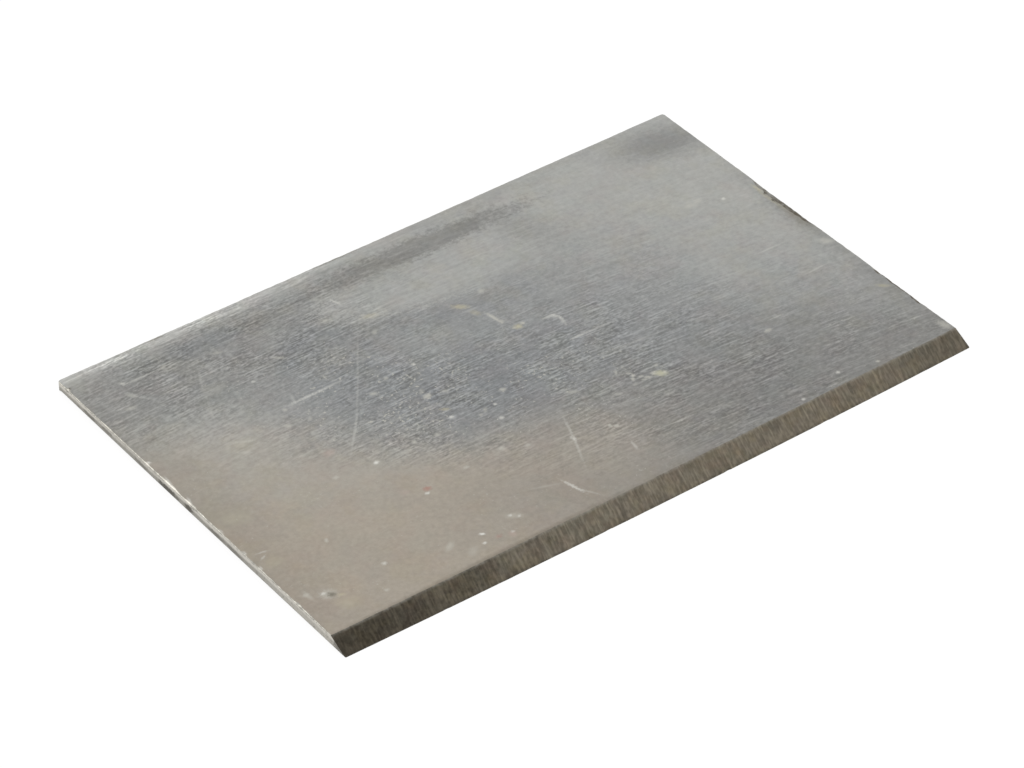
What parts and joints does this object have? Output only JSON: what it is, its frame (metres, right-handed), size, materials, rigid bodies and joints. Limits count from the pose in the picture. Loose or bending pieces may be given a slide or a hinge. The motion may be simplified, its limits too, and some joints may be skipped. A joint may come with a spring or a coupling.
{
  "type": "cabinet scraper blade",
  "caption": "Flat rectangular steel blade for a cabinet scraper, with a bevel ground along a long edge to take a burr.",
  "frame": {"origin": "on the back face, under the middle of the blade's bounding box", "axes": "+X along the cutting edge, -Y towards the cutting edge, +Z out of the bevelled face"},
  "size_m": [0.108, 0.07, 0.0016],
  "materials": {
    "steel": "brushed along the cutting edge, slightly tarnished"
  },
  "bodies": {
    "root": {"scraper_blade": "steel"}
  },
  "joints": []
}
